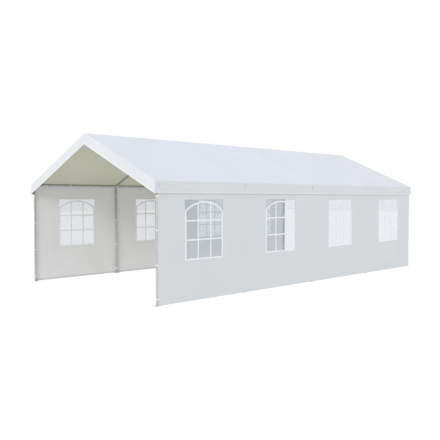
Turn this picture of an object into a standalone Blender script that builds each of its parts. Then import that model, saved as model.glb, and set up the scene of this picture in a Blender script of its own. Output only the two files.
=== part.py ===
"""Marquee tent, 4 by 8 metres, open at both gable ends.

A steel tube frame with a pitched cover and two side walls with windows.
Metres, +Z up, +Y along the tent; the origin is on the ground at the middle
of the footprint, and the gable with frame 1 faces -Y.
"""

import math

import bmesh
import bpy
from mathutils import Matrix, Vector

# Overall sizes, measured to the middles of the tubes.
WIDTH = 4.0
LENGTH = 8.0
EAVE_HEIGHT = 1.970
RIDGE_HEIGHT = 2.850
FRAME_COUNT = 5

# The tubes and the fittings that join them.
TUBE_RADIUS = 0.019
TUBE_WALL = 0.0012
TUBE_SIDES = 16
FITTING_RADIUS = 0.0186
FITTING_REACH = 0.060
SPIGOT_REACH = 0.120
FOOT_SIZE = 0.100
FOOT_THICKNESS = 0.003

# The sheets. They are drawn thicker than the real woven plastic.
SHEET = 0.003
FILM = 0.002
FIT = 0.0003
VALANCE_DEPTH = 0.200
GABLE_FLARE = 0.045
GABLE_OVERHANG = 0.024

# One window sits in the middle of each bay.
WINDOW_WIDTH = 0.870
WINDOW_HEIGHT = 1.000
WINDOW_SILL = 0.680

# A cutter runs this far past what it cuts.
OVERCUT = 0.010

# Worked out from the sizes above.
HALF_WIDTH = WIDTH / 2
BAY = LENGTH / (FRAME_COUNT - 1)
FRAME_PLACES = [(index * BAY) - LENGTH / 2 for index in range(FRAME_COUNT)]
PITCH = math.atan2(RIDGE_HEIGHT - EAVE_HEIGHT, HALF_WIDTH)
RAFTER_LENGTH = math.hypot(RIDGE_HEIGHT - EAVE_HEIGHT, HALF_WIDTH)
BORE_RADIUS = TUBE_RADIUS - TUBE_WALL
SPIGOT_RADIUS = BORE_RADIUS - FIT
WALL_INSIDE = HALF_WIDTH + TUBE_RADIUS + FIT
WALL_OUTSIDE = WALL_INSIDE + SHEET
WALL_FOOT = FOOT_THICKNESS + 3 * FIT
WALL_TOP = EAVE_HEIGHT - 0.005
COVER_HALF_WIDTH = WALL_OUTSIDE + FIT + SHEET
RIDGE_UNDERSIDE = RIDGE_HEIGHT + (TUBE_RADIUS + FIT) / math.cos(PITCH)
RIDGE_TOP = RIDGE_UNDERSIDE + SHEET / math.cos(PITCH)
GABLE_LEAN = GABLE_FLARE / VALANCE_DEPTH
GABLE_STRETCH = math.sqrt(1 + GABLE_LEAN ** 2 + (GABLE_LEAN * math.tan(PITCH)) ** 2)
SHARP_ANGLE = math.radians(40)

ACROSS = Vector((1, 0, 0))
ALONG = Vector((0, 1, 0))
HALF_TURN = Matrix.Rotation(math.pi, 4, "Z")


def clear_scene():
    for thing in list(bpy.data.objects):
        bpy.data.objects.remove(thing, do_unlink=True)


def make_material(name, colour, roughness, metallic=0.0, alpha=1.0):
    material = bpy.data.materials.new(name)
    material.use_nodes = True
    shader = material.node_tree.nodes["Principled BSDF"]
    shader.inputs["Base Color"].default_value = (*colour, 1.0)
    shader.inputs["Roughness"].default_value = roughness
    shader.inputs["Metallic"].default_value = metallic
    shader.inputs["Alpha"].default_value = alpha
    return material


def mesh_from(bm, name):
    bmesh.ops.recalc_face_normals(bm, faces=bm.faces)
    mesh = bpy.data.meshes.new(name)
    bm.to_mesh(mesh)
    bm.free()
    return mesh


def add_object(name, mesh, material=None, matrix=None):
    thing = bpy.data.objects.new(name, mesh)
    bpy.context.scene.collection.objects.link(thing)
    if material and not mesh.materials:
        mesh.materials.append(material)
    if matrix:
        thing.matrix_world = matrix
    return thing


def combine(target, tool, operation):
    modifier = target.modifiers.new(tool.name, "BOOLEAN")
    modifier.operation = operation
    modifier.solver = "EXACT"
    modifier.object = tool


def settled_mesh(target, tools):
    """Turn an object and its modifiers into one plain mesh, and drop the tools."""
    graph = bpy.context.evaluated_depsgraph_get()
    mesh = bpy.data.meshes.new_from_object(target.evaluated_get(graph))
    for thing in [target, *tools]:
        bpy.data.objects.remove(thing, do_unlink=True)
    return mesh


def shade_round(mesh):
    mesh.shade_smooth()
    mesh.set_sharp_from_angle(angle=SHARP_ANGLE)


def add_ring(bm, centre, radius, side, rise):
    """A round section: side and rise are the two directions that it lies in."""
    corners = []
    for index in range(TUBE_SIDES):
        angle = math.tau * index / TUBE_SIDES
        offset = side * math.cos(angle) + rise * math.sin(angle)
        corners.append(bm.verts.new(centre + offset * radius))
    return corners


def join_rings(bm, ring, next_ring):
    for index in range(TUBE_SIDES):
        following = (index + 1) % TUBE_SIDES
        bm.faces.new((ring[index], ring[following], next_ring[following], next_ring[index]))


def add_rod(bm, stations, side):
    """A solid round bar through (point, radius) stations, mitred where it bends.

    The bar stays in the plane that is square to side.
    """
    points = [point for point, _ in stations]
    runs = []
    for here, there in zip(points, points[1:]):
        if (there - here).length > 0:
            runs.append((there - here).normalized())
        else:
            runs.append(runs[-1])
    rings = []
    for index, (point, radius) in enumerate(stations):
        arriving = runs[max(index - 1, 0)]
        leaving = runs[min(index, len(runs) - 1)]
        mean = (arriving + leaving).normalized()
        rise = mean.cross(side) / mean.dot(leaving)
        rings.append(add_ring(bm, point, radius, side, rise))
    for ring, next_ring in zip(rings, rings[1:]):
        join_rings(bm, ring, next_ring)
    bm.faces.new(rings[0])
    bm.faces.new(rings[-1])


def rod_mesh(name, stations, side):
    bm = bmesh.new()
    add_rod(bm, stations, side)
    return mesh_from(bm, name)


def tube_mesh(name, start, end, side):
    """A straight open tube with the frame's wall thickness."""
    rise = (end - start).normalized().cross(side)
    bm = bmesh.new()
    outer_start = add_ring(bm, start, TUBE_RADIUS, side, rise)
    outer_end = add_ring(bm, end, TUBE_RADIUS, side, rise)
    inner_start = add_ring(bm, start, BORE_RADIUS, side, rise)
    inner_end = add_ring(bm, end, BORE_RADIUS, side, rise)
    join_rings(bm, outer_start, outer_end)
    join_rings(bm, outer_end, inner_end)
    join_rings(bm, inner_end, inner_start)
    join_rings(bm, inner_start, outer_start)
    mesh = mesh_from(bm, name)
    shade_round(mesh)
    return mesh


def box_mesh(name, boxes):
    """Boxes given by their lowest and highest corners."""
    bm = bmesh.new()
    for low, high in boxes:
        middle = (Vector(low) + Vector(high)) / 2
        size = Vector(high) - Vector(low)
        place = Matrix.Translation(middle) @ Matrix.Diagonal((*size, 1.0))
        bmesh.ops.create_cube(bm, size=1.0, matrix=place)
    return mesh_from(bm, name)


def fitting_ends(reach_back, reach_front, direction, centre):
    """Stations of a straight fitting with a thin spigot at each end that reaches out."""
    stations = []
    if reach_back:
        stations.append((centre - direction * SPIGOT_REACH, SPIGOT_RADIUS))
        stations.append((centre - direction * FITTING_REACH, SPIGOT_RADIUS))
        stations.append((centre - direction * FITTING_REACH, FITTING_RADIUS))
    else:
        stations.append((centre, FITTING_RADIUS))
    if reach_front:
        stations.append((centre + direction * FITTING_REACH, FITTING_RADIUS))
        stations.append((centre + direction * FITTING_REACH, SPIGOT_RADIUS))
        stations.append((centre + direction * SPIGOT_REACH, SPIGOT_RADIUS))
    else:
        stations.append((centre, FITTING_RADIUS))
    return stations


def leg_mesh(name, rail_behind, rail_ahead):
    """A right-hand leg about its own axis: foot plate, tube, and the eave fitting.

    The fitting has a spigot for the rafter and one for each eave rail.
    """
    corner = Vector((0, 0, EAVE_HEIGHT))
    uphill = Vector((-math.cos(PITCH), 0, math.sin(PITCH)))
    post = add_object("post", rod_mesh("post", [
        (Vector((0, 0, FOOT_THICKNESS / 2)), TUBE_RADIUS),
        (corner, TUBE_RADIUS),
        (corner + uphill * FITTING_REACH, TUBE_RADIUS),
        (corner + uphill * FITTING_REACH, SPIGOT_RADIUS),
        (corner + uphill * SPIGOT_REACH, SPIGOT_RADIUS),
    ], ALONG))
    rail_arms = fitting_ends(rail_behind, rail_ahead, ALONG, corner)
    arms = add_object("arms", rod_mesh("arms", rail_arms, ACROSS))
    half_foot = FOOT_SIZE / 2
    foot = add_object("foot", box_mesh("foot", [
        ((-half_foot, -half_foot, 0), (half_foot, half_foot, FOOT_THICKNESS)),
    ]))
    bore = add_object("bore", rod_mesh("bore", [
        (Vector((0, 0, -OVERCUT)), BORE_RADIUS),
        (Vector((0, 0, EAVE_HEIGHT - FITTING_REACH)), BORE_RADIUS),
    ], ALONG))
    combine(post, arms, "UNION")
    combine(post, foot, "UNION")
    combine(post, bore, "DIFFERENCE")
    mesh = settled_mesh(post, [arms, foot, bore])
    mesh.name = name
    shade_round(mesh)
    return mesh


def ridge_connector_mesh(name, sleeve_back, sleeve_front):
    """The bent fitting at the top of a frame, with a sleeve round the ridge pole."""
    top = Vector((0, 0, RIDGE_HEIGHT))
    stations = []
    for way in (-1, 1):
        downhill = Vector((way * math.cos(PITCH), 0, -math.sin(PITCH)))
        arm = [
            (top + downhill * SPIGOT_REACH, SPIGOT_RADIUS),
            (top + downhill * FITTING_REACH, SPIGOT_RADIUS),
            (top + downhill * FITTING_REACH, TUBE_RADIUS),
        ]
        stations += arm if way < 0 else [(top, TUBE_RADIUS), *reversed(arm)]
    bend = add_object("bend", rod_mesh("bend", stations, ALONG))
    sleeve = add_object("sleeve", rod_mesh("sleeve", [
        (top - ALONG * sleeve_back, FITTING_RADIUS),
        (top + ALONG * sleeve_front, FITTING_RADIUS),
    ], ACROSS))
    bore = add_object("bore", rod_mesh("bore", [
        (top - ALONG * (sleeve_back + OVERCUT), BORE_RADIUS),
        (top + ALONG * (sleeve_front + OVERCUT), BORE_RADIUS),
    ], ACROSS))
    combine(bend, sleeve, "UNION")
    combine(bend, bore, "DIFFERENCE")
    mesh = settled_mesh(bend, [sleeve, bore])
    mesh.name = name
    shade_round(mesh)
    return mesh


def build_frame(steel):
    first, last = 0, FRAME_COUNT - 1
    legs = {
        (False, True): leg_mesh("leg_front", False, True),
        (True, True): leg_mesh("leg_middle", True, True),
        (True, False): leg_mesh("leg_back", True, False),
    }
    connectors = {
        first: ridge_connector_mesh("ridge_front", TUBE_RADIUS, FITTING_REACH),
        last: ridge_connector_mesh("ridge_back", FITTING_REACH, TUBE_RADIUS),
    }
    ridge_middle = ridge_connector_mesh("ridge_middle", FITTING_REACH, FITTING_REACH)
    eave = Vector((HALF_WIDTH, 0, EAVE_HEIGHT))
    uphill = Vector((-math.cos(PITCH), 0, math.sin(PITCH)))
    rafter = tube_mesh(
        "rafter",
        eave + uphill * (FITTING_REACH + FIT),
        eave + uphill * (RAFTER_LENGTH - FITTING_REACH - FIT),
        ALONG,
    )
    rail = tube_mesh(
        "rail",
        eave + ALONG * (FITTING_REACH + FIT),
        eave + ALONG * (BAY - FITTING_REACH - FIT),
        ACROSS,
    )
    for index, place in enumerate(FRAME_PLACES):
        number = index + 1
        here = Matrix.Translation((0, place, 0))
        rails = (index > first, index < last)
        beside = Matrix.Translation((HALF_WIDTH, 0, 0))
        add_object(f"leg_right_{number}", legs[rails], steel, here @ beside)
        add_object(f"leg_left_{number}", legs[rails[::-1]], steel, here @ HALF_TURN @ beside)
        add_object(f"rafter_right_{number}", rafter, steel, here)
        add_object(f"rafter_left_{number}", rafter, steel, here @ HALF_TURN)
        connector = connectors.get(index, ridge_middle)
        add_object(f"ridge_connector_{number}", connector, steel, here)
        if index < last:
            there = Matrix.Translation((0, place + BAY, 0))
            add_object(f"eave_rail_right_{number}", rail, steel, here)
            add_object(f"eave_rail_left_{number}", rail, steel, there @ HALF_TURN)


def build_ridge_pole(steel):
    """The pole that runs through all the ridge connectors."""
    pole_end = LENGTH / 2 + TUBE_RADIUS
    pole = rod_mesh("ridge_pole", [
        (Vector((0, -pole_end, RIDGE_HEIGHT)), SPIGOT_RADIUS),
        (Vector((0, pole_end, RIDGE_HEIGHT)), SPIGOT_RADIUS),
    ], ACROSS)
    shade_round(pole)
    add_object("ridge_pole", pole, steel)


def loft_mesh(name, sections):
    """A closed solid through matching four-cornered sections."""
    bm = bmesh.new()
    rings = [[bm.verts.new(corner) for corner in section] for section in sections]
    for ring, next_ring in zip(rings, rings[1:]):
        for index in range(len(ring)):
            following = (index + 1) % len(ring)
            bm.faces.new((ring[index], ring[following], next_ring[following], next_ring[index]))
    bm.faces.new(rings[0])
    bm.faces.new(rings[-1])
    return mesh_from(bm, name)


def roof_point(x, y, drop):
    """A point straight below the top of the roof cover."""
    return (x, y, RIDGE_TOP - abs(x) * math.tan(PITCH) - drop)


def valance_end(drop):
    """How far along the tent the gable valance's outer face stands at a drop."""
    return LENGTH / 2 + GABLE_OVERHANG + GABLE_LEAN * drop


def build_roof(sheet):
    """The top sheet of the cover: both slopes, folded over the ridge."""
    end = valance_end(0)
    under = SHEET / math.cos(PITCH)
    sections = []
    for x in (-COVER_HALF_WIDTH, 0, COVER_HALF_WIDTH):
        sections.append([
            roof_point(x, -end, 0),
            roof_point(x, end, 0),
            roof_point(x, end, under),
            roof_point(x, -end, under),
        ])
    add_object("roof_cover", loft_mesh("roof_cover", sections), sheet)


def build_valances(sheet):
    """The strip round the roof's edge, which leans outwards at the gables."""
    end_thickness = SHEET * GABLE_STRETCH
    top = (SHEET + FIT) / math.cos(PITCH)
    sections = []
    for x in (-COVER_HALF_WIDTH, 0, COVER_HALF_WIDTH):
        sections.append([
            roof_point(x, -valance_end(top), top),
            roof_point(x, -valance_end(top) + end_thickness, top),
            roof_point(x, -valance_end(VALANCE_DEPTH) + end_thickness, VALANCE_DEPTH),
            roof_point(x, -valance_end(VALANCE_DEPTH), VALANCE_DEPTH),
        ])
    gable = loft_mesh("valance_gable", sections)
    add_object("valance_front", gable, sheet)
    add_object("valance_back", gable, sheet, HALF_TURN)

    inner = COVER_HALF_WIDTH - SHEET
    sections = []
    for drop in (top, VALANCE_DEPTH):
        z = roof_point(COVER_HALF_WIDTH, 0, drop)[2]
        end = valance_end(drop) - end_thickness - FIT * GABLE_STRETCH
        sections.append([
            (inner, -end, z),
            (COVER_HALF_WIDTH, -end, z),
            (COVER_HALF_WIDTH, end, z),
            (inner, end, z),
        ])
    side = loft_mesh("valance_side", sections)
    add_object("valance_right", side, sheet)
    add_object("valance_left", side, sheet, HALF_TURN)


def window_boxes(inside, outside, inset):
    """The window of every bay, from one face of the wall to the other."""
    boxes = []
    for place in FRAME_PLACES[:-1]:
        middle = place + BAY / 2
        half = WINDOW_WIDTH / 2 - inset
        low = (inside, middle - half, WINDOW_SILL + inset)
        high = (outside, middle + half, WINDOW_SILL + WINDOW_HEIGHT - inset)
        boxes.append((low, high))
    return boxes


def build_walls(sheet, film):
    """The two side walls outside the legs, each with its cut-out windows."""
    wall = add_object("wall", box_mesh("wall", [
        ((WALL_INSIDE, -LENGTH / 2, WALL_FOOT), (WALL_OUTSIDE, LENGTH / 2, WALL_TOP)),
    ]))
    cut_boxes = window_boxes(WALL_INSIDE - OVERCUT, WALL_OUTSIDE + OVERCUT, 0)
    cutter = add_object("window_cutter", box_mesh("window_cutter", cut_boxes))
    combine(wall, cutter, "DIFFERENCE")
    wall_mesh = settled_mesh(wall, [cutter])
    wall_mesh.name = "side_wall"
    film_inside = (WALL_INSIDE + WALL_OUTSIDE - FILM) / 2
    for side, turn in (("right", Matrix.Identity(4)), ("left", HALF_TURN)):
        add_object(f"side_wall_{side}", wall_mesh, sheet, turn)
    for index, box in enumerate(window_boxes(film_inside, film_inside + FILM, FIT)):
        number = index + 1
        opposite = FRAME_COUNT - number
        mesh = box_mesh(f"window_{number}", [box])
        add_object(f"window_right_{number}", mesh, film)
        add_object(f"window_left_{opposite}", mesh, film, HALF_TURN)


def main():
    clear_scene()
    steel = make_material("frame_steel", (0.45, 0.46, 0.47), 0.42, metallic=0.55)
    cover_sheet = make_material("cover_sheet", (0.86, 0.88, 0.91), 0.55)
    wall_sheet = make_material("wall_sheet", (0.80, 0.83, 0.85), 0.60)
    film = make_material("window_film", (0.86, 0.90, 0.94), 0.12, alpha=0.35)
    build_frame(steel)
    build_ridge_pole(steel)
    build_roof(cover_sheet)
    build_valances(cover_sheet)
    build_walls(wall_sheet, film)


main()
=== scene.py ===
# %% [markdown]
# # A marquee tent, 4 metres wide and 8 metres long
#
# The real tent is a frame of steel tubes. A pitched cover of coated woven
# plastic lies over it, and two side walls of the same cloth hang outside its
# legs. Each wall has four clear windows with white bars welded to them.
#
# A plain solid model of the tent exists already, and this script dresses it.
# Everything is in metres, with +Z up and +Y along the tent, and the open
# gable in front faces -Y.

# %% Load the plain model
import math

import bmesh
import bpy
from mathutils import Matrix, Vector, noise


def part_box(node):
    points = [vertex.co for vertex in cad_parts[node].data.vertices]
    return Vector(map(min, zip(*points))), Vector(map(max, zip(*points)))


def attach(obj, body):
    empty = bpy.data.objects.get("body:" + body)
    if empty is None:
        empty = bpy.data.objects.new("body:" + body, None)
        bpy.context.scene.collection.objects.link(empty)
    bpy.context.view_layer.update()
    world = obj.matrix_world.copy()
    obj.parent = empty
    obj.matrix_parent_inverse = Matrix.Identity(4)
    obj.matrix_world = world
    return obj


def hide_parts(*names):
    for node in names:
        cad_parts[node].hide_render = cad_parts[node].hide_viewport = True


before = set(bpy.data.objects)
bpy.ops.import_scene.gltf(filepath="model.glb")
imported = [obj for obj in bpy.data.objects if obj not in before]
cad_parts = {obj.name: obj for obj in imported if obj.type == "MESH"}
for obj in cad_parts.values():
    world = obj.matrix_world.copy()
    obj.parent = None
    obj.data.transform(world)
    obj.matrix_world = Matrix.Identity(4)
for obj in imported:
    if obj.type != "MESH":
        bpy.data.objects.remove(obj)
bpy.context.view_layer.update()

# %% [markdown]
# ## Sizes
#
# A size that the plain model has is read from it, so that a new piece always
# fits the old ones. A box round a straight tube gives its middle line and its
# radius, and the middle lines give the pitch of the roof.

# %% Read the main sizes
FRAME_COUNT = 5
SIDES = ("right", "left")


def middle(node):
    low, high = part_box(node)
    return (low + high) / 2


rail_low, rail_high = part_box("eave_rail_right_1")
TUBE_RADIUS = (rail_high.x - rail_low.x) / 2
HALF_WIDTH = middle("eave_rail_right_1").x
EAVE_HEIGHT = middle("eave_rail_right_1").z
RIDGE_HEIGHT = middle("ridge_pole").z
FRAME_PLACES = [middle(f"rafter_right_{number + 1}").y for number in range(FRAME_COUNT)]
BAY = FRAME_PLACES[1] - FRAME_PLACES[0]
HALF_LENGTH = FRAME_PLACES[-1]
PITCH = math.atan2(RIDGE_HEIGHT - EAVE_HEIGHT, HALF_WIDTH)
SLOPE = math.tan(PITCH)
RAFTER_LENGTH = math.hypot(RIDGE_HEIGHT - EAVE_HEIGHT, HALF_WIDTH)
print(f"tube radius {TUBE_RADIUS:.4f}, eave {EAVE_HEIGHT:.3f}, ridge {RIDGE_HEIGHT:.3f}")
print(f"pitch {math.degrees(PITCH):.2f} degrees, one frame every {BAY:.3f} m")

# %% Directions that many pieces share
ACROSS = Vector((1, 0, 0))
ALONG = Vector((0, 1, 0))
UPWARD = Vector((0, 0, 1))
HALF_TURN = Matrix.Rotation(math.pi, 4, "Z")
SIDE_TURN = {"right": Matrix.Identity(4), "left": HALF_TURN}


def towards(direction):
    """A turn that takes +Z to a direction."""
    return Vector(direction).to_track_quat("Z", "Y").to_matrix().to_4x4()


# %% [markdown]
# ## A small language for finishes
#
# A finish is a network of nodes. Written one node at a time, a network is
# long and hard to read, so two small classes help. `Wire` holds a socket and
# turns `a * b + 1` into Math nodes. `Finish` holds a material and adds any
# other node with one method.

# %% Arithmetic on sockets
class Wire:
    """The value that comes out of a node's socket."""

    def __init__(self, finish, socket):
        self.finish = finish
        self.socket = socket

    def calculate(self, operation, first, second=None):
        values = {0: first} if second is None else {0: first, 1: second}
        return self.finish.add("ShaderNodeMath", {"operation": operation}, values)

    def __add__(self, other):
        return self.calculate("ADD", self, other)

    def __radd__(self, other):
        return self.calculate("ADD", other, self)

    def __sub__(self, other):
        return self.calculate("SUBTRACT", self, other)

    def __rsub__(self, other):
        return self.calculate("SUBTRACT", other, self)

    def __mul__(self, other):
        return self.calculate("MULTIPLY", self, other)

    def __rmul__(self, other):
        return self.calculate("MULTIPLY", other, self)

    def __truediv__(self, other):
        return self.calculate("DIVIDE", self, other)

    def __lt__(self, other):
        return self.calculate("LESS_THAN", self, other)

    def __gt__(self, other):
        return self.calculate("GREATER_THAN", self, other)

    def __abs__(self):
        return self.calculate("ABSOLUTE", self)

    def wave(self, length):
        """A sine wave with this wavelength, from -1 to 1."""
        return self.calculate("SINE", self * (math.tau / length))

    def from_nearest(self, length):
        """Distance to the nearest whole multiple of a length."""
        return self.calculate("PINGPONG", self, length / 2)

    def within(self, low, high):
        """Rises from 0 at low to 1 at high."""
        settings = {"interpolation_type": "SMOOTHSTEP"}
        sockets = {"Value": self, "From Min": low, "From Max": high}
        return self.finish.add("ShaderNodeMapRange", settings, sockets)


# %% A material and its nodes
class Finish:
    """A material built round one Principled shader."""

    def __init__(self, name, constants):
        self.material = bpy.data.materials.new(name)
        self.material.use_nodes = True
        self.tree = self.material.node_tree
        self.shader = self.tree.nodes["Principled BSDF"]
        for socket, value in constants.items():
            self.shader.inputs[socket].default_value = value

    def add(self, kind, settings=None, sockets=None, output=0):
        """Add a node: first its settings, then what goes into its sockets."""
        node = self.tree.nodes.new(kind)
        for setting, value in (settings or {}).items():
            setattr(node, setting, value)
        for socket, value in (sockets or {}).items():
            self.feed(node.inputs[socket], value)
        return Wire(self, node.outputs[output])

    def feed(self, socket, value):
        if isinstance(value, Wire):
            self.tree.links.new(value.socket, socket)
        else:
            socket.default_value = value

    def surface(self, **values):
        """Feed the shader: base_color=... goes to its Base Color."""
        for name, value in values.items():
            self.feed(self.shader.inputs[name.replace("_", " ").title()], value)

    def blend(self, amount, first, second):
        """A colour between two others."""
        settings = {"data_type": "RGBA"}
        return self.add("ShaderNodeMix", settings, {0: amount, 6: first, 7: second}, 2)

    def place(self):
        return self.add("ShaderNodeTexCoord", output="Object")

    def spots(self, vector, scale, detail=2.0):
        """Cloudy noise from 0 to 1."""
        sockets = {"Vector": vector, "Scale": scale, "Detail": detail}
        return self.add("ShaderNodeTexNoise", {}, sockets, "Fac")

    def relief(self, height, distance, strength=1.0):
        """Bumps as high as distance where height is 1."""
        sockets = {"Height": height, "Distance": distance, "Strength": strength}
        return self.add("ShaderNodeBump", {}, sockets, "Normal")


def colour(red, green, blue):
    return (red, green, blue, 1.0)


# %% [markdown]
# ## Turning a mesh into a piece
#
# Every piece is modelled in a bmesh, which is Blender's workbench for meshes.

# %% Finish a piece
SHARP_ANGLE = math.radians(38)
pieces_made = {}


def add_piece(name, bm, finishes, stands_for=(), closed=True):
    """Make an object of a bmesh and put it on the tent."""
    if closed:
        bmesh.ops.recalc_face_normals(bm, faces=bm.faces)
    mesh = bpy.data.meshes.new(name)
    bm.to_mesh(mesh)
    bm.free()
    mesh.shade_smooth()
    mesh.set_sharp_from_angle(angle=SHARP_ANGLE)
    for finish in finishes:
        mesh.materials.append(finish.material)
    piece = bpy.data.objects.new(name, mesh)
    bpy.context.scene.collection.objects.link(piece)
    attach(piece, "root")
    if stands_for:
        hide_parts(*stands_for)
    pieces_made[name] = piece
    return piece


# %% [markdown]
# ## The steel finish
#
# The tubes are steel with a dull grey coat. It is nearly even, but it has
# faint cloudy patches, a fine orange-peel skin from spraying, and thin
# scratches along the tube from sliding the parts together. Stretching a noise
# along the height makes such scratches with one Mapping node.

# %% Grey coated steel, and bright zinc for the foot plates
def scratched_metal(name, dark, light, roughness, metallic):
    metal = Finish(name, {"Metallic": metallic, "Coat Weight": 0.0})
    place = metal.place()
    patches = metal.spots(place, 9.0, 3.0)
    stretch = {"Vector": place, "Scale": (260.0, 260.0, 6.0)}
    scratches = metal.spots(metal.add("ShaderNodeMapping", {}, stretch), 1.0, 1.0)
    fine_lines = scratches.within(0.66, 0.74)
    tone = metal.blend(patches.within(0.3, 0.7), colour(*dark), colour(*light))
    worn = metal.blend(fine_lines * 0.25, tone, colour(0.62, 0.62, 0.62))
    skin = metal.spots(place, 420.0, 1.0)
    metal.surface(
        base_color=worn,
        roughness=patches * 0.16 + roughness - fine_lines * 0.08,
        normal=metal.relief(skin + scratches * 0.4, 0.0002, 0.35),
    )
    return metal


coated_steel = scratched_metal(
    "coated steel", (0.365, 0.37, 0.375), (0.42, 0.42, 0.425), 0.38, 0.12
)
bright_zinc = scratched_metal(
    "bright zinc", (0.66, 0.67, 0.68), (0.78, 0.79, 0.8), 0.32, 0.35
)
print("metals:", coated_steel.material.name, "and", bright_zinc.material.name)

# %% [markdown]
# ## A tube that is pushed, swelled and bent
#
# A leg is a tube that rises, bends and ends in a thinner spigot. A cylinder
# for each part would leave seams. Instead one ring of edges is pushed along,
# as clay is pushed out of a nozzle: extruding moves it on, scaling makes it
# thinner, and spinning bends it.

# %% The nozzle
ROUND_SIDES = 32
RIM = 0.0008


class Nozzle:
    """A ring of edges that leaves a tube behind it."""

    def __init__(self, bm, start, direction, radius):
        self.bm = bm
        self.centre = Vector(start)
        self.direction = Vector(direction).normalized()
        self.radius = radius
        turn = Matrix.Translation(start) @ towards(direction)
        ring = bmesh.ops.create_circle(bm, segments=ROUND_SIDES, radius=radius, matrix=turn)
        self.edges = list({edge for vert in ring["verts"] for edge in vert.link_edges})
        bmesh.ops.edgeloop_fill(bm, edges=self.edges)

    def push(self, distance, radius=None):
        """Extrude the ring along its direction, to a new radius if one is given."""
        made = bmesh.ops.extrude_edge_only(self.bm, edges=self.edges)["geom"]
        verts = [part for part in made if isinstance(part, bmesh.types.BMVert)]
        self.edges = [part for part in made if isinstance(part, bmesh.types.BMEdge)]
        bmesh.ops.translate(self.bm, vec=self.direction * distance, verts=verts)
        self.centre = self.centre + self.direction * distance
        if radius is not None:
            ratio = radius / self.radius
            about = Matrix.Translation(-self.centre)
            bmesh.ops.scale(self.bm, vec=(ratio,) * 3, space=about, verts=verts)
            self.radius = radius

    def bend(self, axis, angle, bend_radius, steps=10):
        """Spin the ring round an axis that lies beside it, on the inside of the bend."""
        pivot = self.centre + axis.cross(self.direction) * math.copysign(bend_radius, angle)
        verts = list({vert for edge in self.edges for vert in edge.verts})
        made = bmesh.ops.spin(
            self.bm, geom=verts + self.edges, cent=pivot, axis=axis, angle=angle, steps=steps
        )["geom_last"]
        self.edges = [part for part in made if isinstance(part, bmesh.types.BMEdge)]
        turn = Matrix.Rotation(angle, 3, axis)
        self.centre = pivot + turn @ (self.centre - pivot)
        self.direction = turn @ self.direction

    def groove(self, width=0.0012, depth=0.0009):
        """The thin dark line where one tube meets the next."""
        full = self.radius
        self.push(RIM / 2, full - RIM / 4)
        self.push(0.0, full - depth)
        self.push(width, full - depth)
        self.push(0.0, full - RIM / 4)
        self.push(RIM / 2, full)

    def close(self):
        """Round the rim off and cap the end."""
        self.push(RIM, self.radius - RIM)
        bmesh.ops.edgeloop_fill(self.bm, edges=self.edges)


# %% A spring button, and a tube with a wall thickness
BUTTON_RADIUS = 0.0042
BUTTON_HEIGHT = 0.0030


def add_button(bm, foot, direction):
    """The little dome that locks two tubes together."""
    button = Nozzle(bm, Vector(foot) - Vector(direction) * RIM, direction, BUTTON_RADIUS)
    for step in (30, 60, 85):
        angle = math.radians(step)
        before = math.radians(step - 30 if step < 85 else 60)
        rise = (math.sin(angle) - math.sin(before)) * (BUTTON_HEIGHT + RIM)
        button.push(rise, BUTTON_RADIUS * max(math.cos(angle), 0.1))
    bmesh.ops.edgeloop_fill(bm, edges=button.edges)


TUBE_WALL = 0.0012
BORE_RADIUS = TUBE_RADIUS - TUBE_WALL


def add_open_tube(bm, start, direction, length):
    """A tube with a real wall, made by spinning the section of that wall."""
    section = [
        (TUBE_RADIUS, RIM), (TUBE_RADIUS, length - RIM),
        (TUBE_RADIUS - RIM / 2, length), (BORE_RADIUS, length),
        (BORE_RADIUS, 0.0), (TUBE_RADIUS - RIM / 2, 0.0),
    ]
    verts = [bm.verts.new((radius, 0.0, along)) for radius, along in section]
    edges = [bm.edges.new((vert, verts[index - 1])) for index, vert in enumerate(verts)]
    known = set(bm.verts) - set(verts)
    bmesh.ops.spin(
        bm, geom=verts + edges, cent=(0, 0, 0), axis=UPWARD,
        angle=math.tau, steps=ROUND_SIDES, use_merge=True,
    )
    made = [vert for vert in bm.verts if vert not in known]
    place = Matrix.Translation(start) @ towards(direction)
    bmesh.ops.transform(bm, matrix=place, verts=made)


# %% [markdown]
# ## The legs
#
# Each leg is a tube on a square foot plate. At the top it bends over into the
# pitch of the roof, and short arms for the eave rails are welded on. The
# thinner spigots slide into the rafters and rails. The arms are joined with a
# Boolean, which leaves one closed skin, as a weld does.

# %% Sizes of the fittings
FITTING_REACH = 0.060
SPIGOT_REACH = 0.120
SPIGOT_RADIUS = BORE_RADIUS - 0.0003
ARM_RADIUS = TUBE_RADIUS - 0.0004
ELBOW_RADIUS = 0.045
FOOT_THICKNESS = 0.003
FOOT_SIZE = 2 * (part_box("leg_right_1")[1].x - HALF_WIDTH)


def join_meshes(name, target, tools, operation="UNION"):
    """Combine closed bmeshes with an exact Boolean, and give the result back."""
    things = []
    for index, bm in enumerate([target, *tools]):
        bmesh.ops.recalc_face_normals(bm, faces=bm.faces)
        mesh = bpy.data.meshes.new(f"{name} {index}")
        bm.to_mesh(mesh)
        bm.free()
        things.append(bpy.data.objects.new(mesh.name, mesh))
        bpy.context.scene.collection.objects.link(things[-1])
    for tool in things[1:]:
        modifier = things[0].modifiers.new("weld", "BOOLEAN")
        modifier.operation = operation
        modifier.solver = "EXACT"
        modifier.object = tool
    graph = bpy.context.evaluated_depsgraph_get()
    joined = bmesh.new()
    joined.from_object(things[0], graph)
    for thing in things:
        bpy.data.objects.remove(thing, do_unlink=True)
    return joined


print(f"foot plate about {FOOT_SIZE:.3f} m square, {FOOT_THICKNESS:.3f} m thick")

# %% The foot plate
PEG_HOLE_RADIUS = 0.0055
PEG_HOLE_SIDES = 16


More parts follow.
